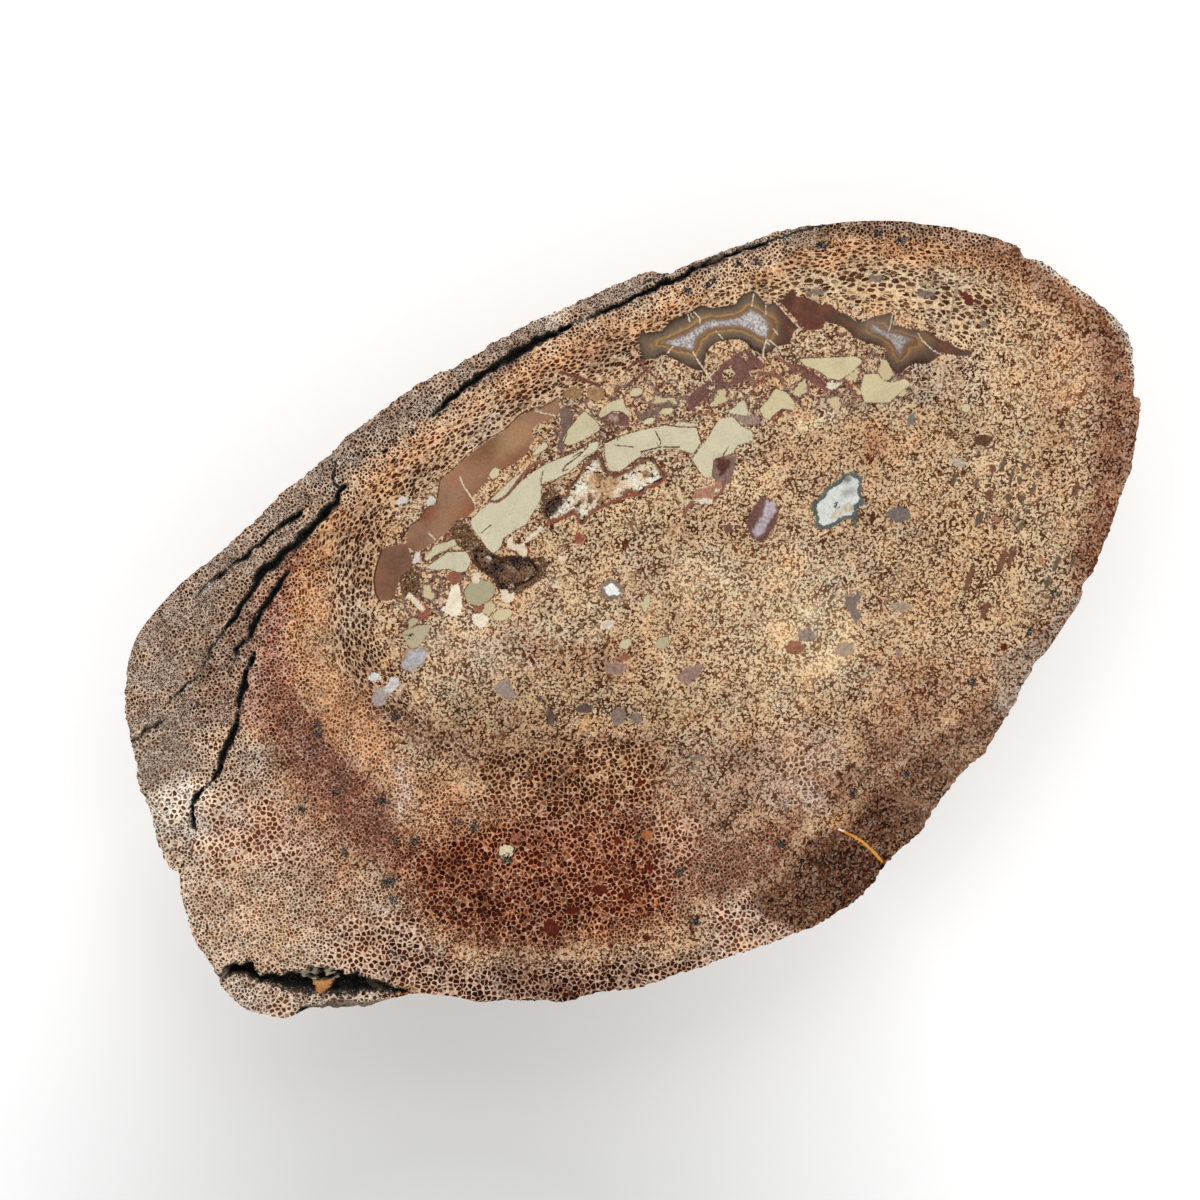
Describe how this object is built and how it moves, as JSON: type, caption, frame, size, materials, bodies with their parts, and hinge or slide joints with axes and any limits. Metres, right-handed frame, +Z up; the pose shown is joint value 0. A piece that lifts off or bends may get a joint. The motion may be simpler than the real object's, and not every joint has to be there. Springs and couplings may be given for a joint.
{
  "type": "dinosaur bone cross-section",
  "caption": "Thick slab cut across a petrified dinosaur bone, lying flat: polished face with mineral-filled pores, agate and crystal-lined hollows, rough natural rim.",
  "frame": {"origin": "middle of the slab's bounding box, at the level of its underside", "axes": "+Z up out of the polished face, +X along the slab's long axis towards its broad round end, +Y towards the side with the long open crack"},
  "size_m": [0.28, 0.1686, 0.038],
  "materials": {
    "petrified_bone": "cut and polished face, weathered rough rim, sawn underside",
    "quartz_crystals": "small pale quartz points",
    "dark_crystals": "small dark brown quartz points"
  },
  "bodies": {
    "root": {"bone_slab": "petrified_bone", "quartz_crust": "quartz_crystals", "dark_crust": "dark_crystals"}
  },
  "joints": []
}
